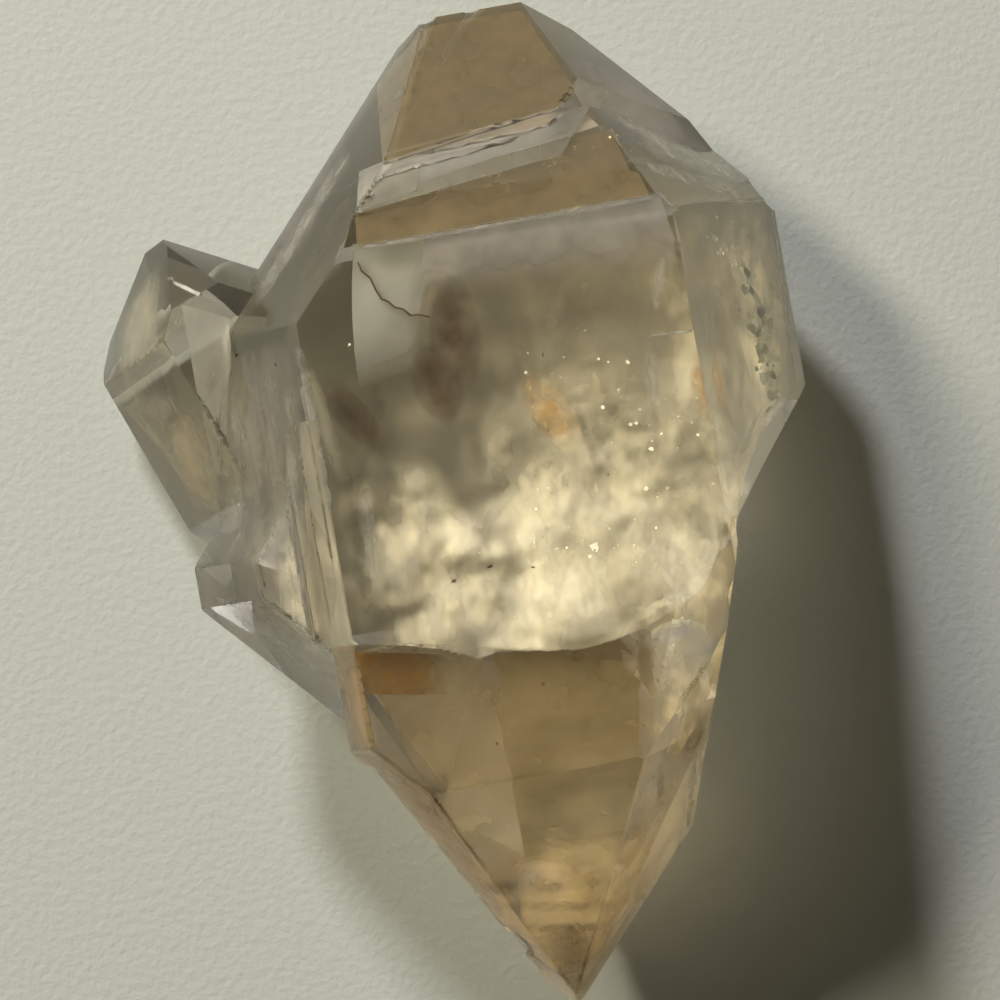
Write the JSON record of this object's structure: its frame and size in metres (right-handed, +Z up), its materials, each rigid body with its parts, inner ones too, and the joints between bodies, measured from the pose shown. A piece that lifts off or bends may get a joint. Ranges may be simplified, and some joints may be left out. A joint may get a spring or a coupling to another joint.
{
  "type": "double terminated quartz crystal",
  "caption": "Clear smoky quartz crystal pointed at both ends, with smaller crystals grown on one side; lies on a flat prism face as a display specimen.",
  "frame": {"origin": "bottom centre of the bounding box, on the surface that the crystal lies on", "axes": "+Y along the main crystal's long axis to its blunt end, +X to the right, +Z up from the surface"},
  "size_m": [0.036, 0.0514, 0.017],
  "materials": {
    "quartz": "clear pale smoky quartz with cloudy veils, iron stain and glassy faces"
  },
  "bodies": {
    "root": {"quartz_crystal": "quartz"}
  },
  "joints": []
}
